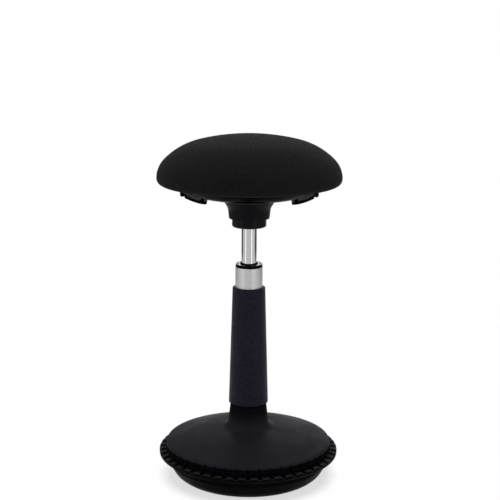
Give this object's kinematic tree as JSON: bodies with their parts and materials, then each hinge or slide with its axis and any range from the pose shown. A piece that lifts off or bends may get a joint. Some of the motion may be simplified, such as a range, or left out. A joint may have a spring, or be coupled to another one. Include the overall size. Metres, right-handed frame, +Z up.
{
  "type": "standing desk stool",
  "caption": "Perching stool with a domed fabric seat on a gas column, release paddles under the seat and a weighted round base with a rocking rubber foot.",
  "frame": {"origin": "on the floor, on the axis of the column", "axes": "+Z up along the column, +X towards the right release paddle, -Y towards the viewer of the picture"},
  "size_m": [0.3356, 0.3356, 0.6408],
  "materials": {
    "foot_rubber": "matt moulded rubber",
    "buffer_rubber": "matt rubber",
    "cast_weight": "as cast",
    "bare_steel": "oiled steel",
    "zinc_steel": "zinc plated",
    "black_steel": "black powder coat",
    "base_plastic": "satin moulded plastic",
    "sleeve_plastic": "fine leather-grain plastic",
    "bush_plastic": "plain moulded plastic",
    "hub_plastic": "satin moulded plastic",
    "pan_plastic": "smooth moulded plastic",
    "paddle_plastic": "smooth moulded plastic",
    "silver_tube": "satin silver",
    "chrome": "bright chrome plate",
    "board_wood": "raw plywood",
    "seat_foam": "open-cell foam",
    "seat_fabric": "black knitted fabric"
  },
  "bodies": {
    "base": {"foot_tread": "foot_rubber", "weight_disc": "cast_weight", "base_socket": "bare_steel", "socket_bolts": "zinc_steel", "socket_washers": "zinc_steel", "base_cover": "base_plastic", "cover_screws": "zinc_steel", "column_tube": "silver_tube", "tube_end_plate": "bare_steel", "guide_bush": "bush_plastic", "column_sleeve": "sleeve_plastic", "lower_race": "bare_steel"},
    "piston": {"piston_rod": "chrome", "piston": "bare_steel", "upper_race": "bare_steel", "ball_cage": "bush_plastic", "bearing_balls": "chrome", "bump_buffer": "buffer_rubber", "clip_washer": "bare_steel", "rod_clip": "bare_steel"},
    "seat": {"gas_cylinder": "chrome", "cylinder_gland": "bush_plastic", "hub_socket": "black_steel", "hub_shroud": "hub_plastic", "seat_plate": "black_steel", "seat_bolts": "zinc_steel", "tee_nuts": "zinc_steel", "seat_board": "board_wood", "seat_pan": "pan_plastic", "pan_screws": "zinc_steel", "seat_foam": "seat_foam", "seat_cover": "seat_fabric", "paddle_pins": "black_steel", "rocker_pins": "bare_steel"},
    "left_paddle": {"left_paddle": "paddle_plastic"},
    "right_paddle": {"right_paddle": "paddle_plastic"},
    "left_rocker": {"left_rocker": "black_steel"},
    "right_rocker": {"right_rocker": "black_steel"},
    "valve_button": {"valve_button": "bare_steel"}
  },
  "joints": [
    {"name": "seat_swivel", "type": "hinge", "parent": "base", "child": "piston", "pos_m": [0, 0, 0.0385], "axis": [0, 0, 1], "continuous": true},
    {"name": "seat_height", "type": "slide", "parent": "piston", "child": "seat", "axis": [0, 0, 1], "range_m": [-0.066, 0.174]},
    {"name": "left_paddle_squeeze", "type": "hinge", "parent": "seat", "child": "left_paddle", "pos_m": [-0.12, 0, 0.535], "axis": [0, -1, 0], "range_deg": [0, 6], "stiffness_Nm_per_rad": 5, "springref_deg": -5.73},
    {"name": "right_paddle_squeeze", "type": "hinge", "parent": "seat", "child": "right_paddle", "pos_m": [0.12, 0, 0.535], "axis": [0, 1, 0], "range_deg": [0, 6]},
    {"name": "left_rocker_turn", "type": "hinge", "parent": "seat", "child": "left_rocker", "pos_m": [-0.044, 0, 0.5404], "axis": [0, 1, 0], "range_deg": [0, 5.5]},
    {"name": "right_rocker_turn", "type": "hinge", "parent": "seat", "child": "right_rocker", "pos_m": [0.044, 0, 0.5404], "axis": [0, -1, 0], "range_deg": [0, 5.5]},
    {"name": "valve_press", "type": "slide", "parent": "seat", "child": "valve_button", "axis": [0, 0, -1], "range_m": [0, 0.0043]}
  ],
  "couplings": [
    {"joint": "right_paddle_squeeze", "follows": "left_paddle_squeeze", "ratio": 1},
    {"joint": "left_rocker_turn", "follows": "left_paddle_squeeze", "ratio": 0.9},
    {"joint": "right_rocker_turn", "follows": "left_paddle_squeeze", "ratio": 0.9},
    {"joint": "valve_press", "follows": "left_paddle_squeeze", "m_per_rad": 0.04}
  ]
}
